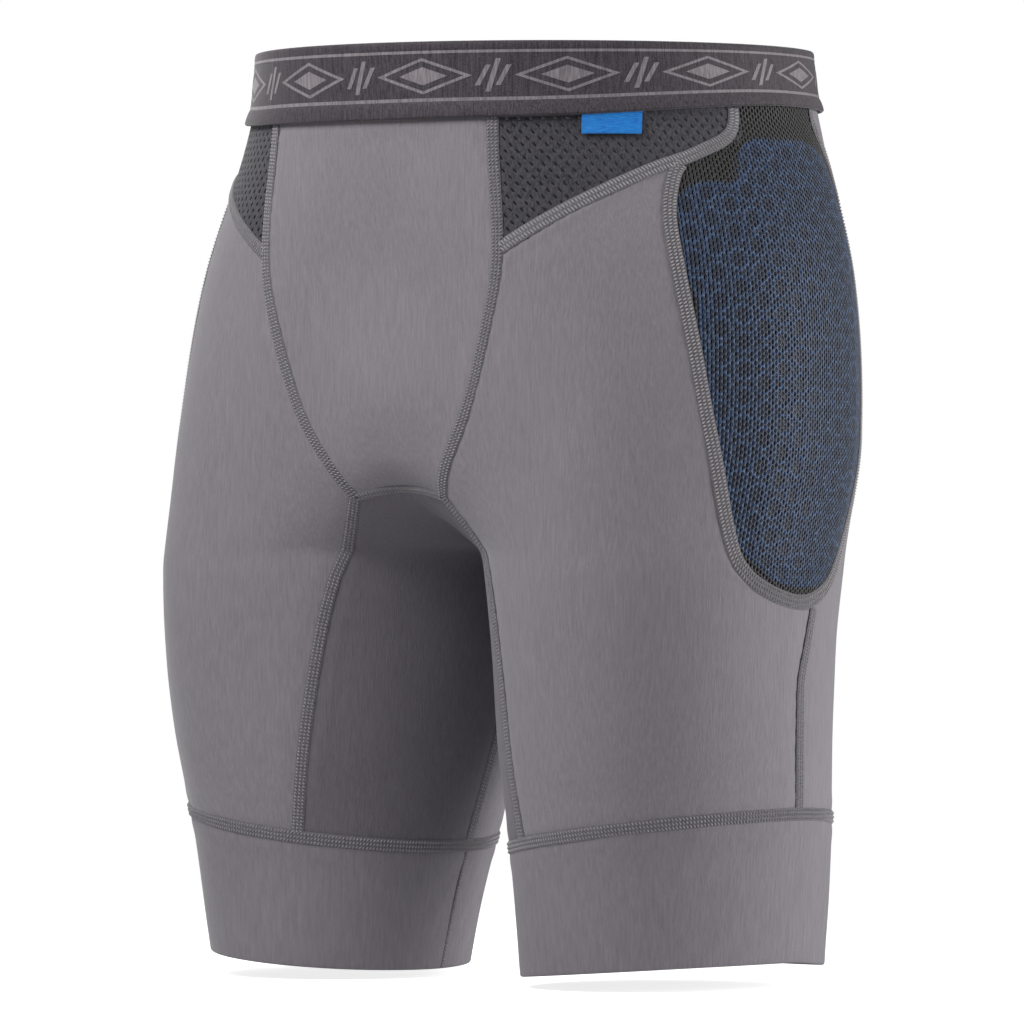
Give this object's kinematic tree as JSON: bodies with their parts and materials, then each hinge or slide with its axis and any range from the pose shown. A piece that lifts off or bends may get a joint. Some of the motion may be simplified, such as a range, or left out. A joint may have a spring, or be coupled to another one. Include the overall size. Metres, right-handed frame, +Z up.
{
  "type": "padded impact shorts",
  "caption": "Close-fitting stretch shorts with an elastic waistband, foam hip pads in mesh pockets, a tailbone pad and deep plain cuffs.",
  "frame": {"origin": "centre of the waist opening, level with its top edge", "axes": "+Z up, -Y the garment's front, +X the wearer's left"},
  "size_m": [0.3812, 0.2674, 0.4663],
  "materials": {
    "elastic": "woven elastic with two lighter stripes",
    "tab": "matt woven tape",
    "jersey": "smooth stretch knit with a fine vertical grain",
    "insert_mesh": "knit with small slanted holes",
    "pocket_mesh": "open warp-knit mesh",
    "pad": "matt moulded foam gel",
    "lining": "fine matt knit",
    "cuff": "smooth doubled stretch knit",
    "thread": "flat seams of fine thread"
  },
  "bodies": {
    "trunk": {"waistband": "elastic", "front_pouch": "jersey", "mesh_insert_left": "insert_mesh", "mesh_insert_right": "insert_mesh", "tail_pad": "pad", "tail_lining": "lining", "pouch_seam_left": "thread", "pouch_seam_right": "thread", "pouch_seam_bottom": "thread", "insert_seam_left": "thread", "insert_seam_right": "thread", "seat_seam": "thread", "tail_seam": "thread"},
    "left_leg": {"thigh_panel_left": "jersey", "back_panel_left": "jersey", "gusset_left": "jersey", "hip_mesh_left": "pocket_mesh", "hip_pad_left": "pad", "hip_lining_left": "lining", "cuff_left": "cuff", "hip_seam_left": "thread", "side_seam_left": "thread", "gusset_seam_left": "thread", "inseam_left": "thread", "cuff_seam_left": "thread", "cuff_join_left": "thread"},
    "right_leg": {"thigh_panel_right": "jersey", "back_panel_right": "jersey", "gusset_right": "jersey", "hip_mesh_right": "pocket_mesh", "hip_pad_right": "pad", "hip_lining_right": "lining", "cuff_right": "cuff", "hip_seam_right": "thread", "side_seam_right": "thread", "gusset_seam_right": "thread", "inseam_right": "thread", "cuff_seam_right": "thread", "cuff_join_right": "thread"},
    "tab": {"label_tab": "tab"}
  },
  "joints": [
    {"name": "left_hip_flex", "type": "hinge", "parent": "trunk", "child": "left_leg", "pos_m": [0.1, -0.008, -0.165], "axis": [-1, 0, 0], "range_deg": [-10, 40], "deforming": ["thigh_panel_left", "back_panel_left", "gusset_left", "hip_mesh_left", "hip_pad_left", "hip_lining_left", "hip_seam_left", "side_seam_left", "gusset_seam_left", "inseam_left"]},
    {"name": "right_hip_flex", "type": "hinge", "parent": "trunk", "child": "right_leg", "pos_m": [-0.1, -0.008, -0.165], "axis": [-1, 0, 0], "range_deg": [-10, 40], "deforming": ["thigh_panel_right", "back_panel_right", "gusset_right", "hip_mesh_right", "hip_pad_right", "hip_lining_right", "hip_seam_right", "side_seam_right", "gusset_seam_right", "inseam_right"]},
    {"name": "tab_flip", "type": "hinge", "parent": "trunk", "child": "tab", "pos_m": [0.119, -0.0806, -0.0403], "axis": [-0.6718, -0.7408, 0], "range_deg": [0, 100]}
  ]
}
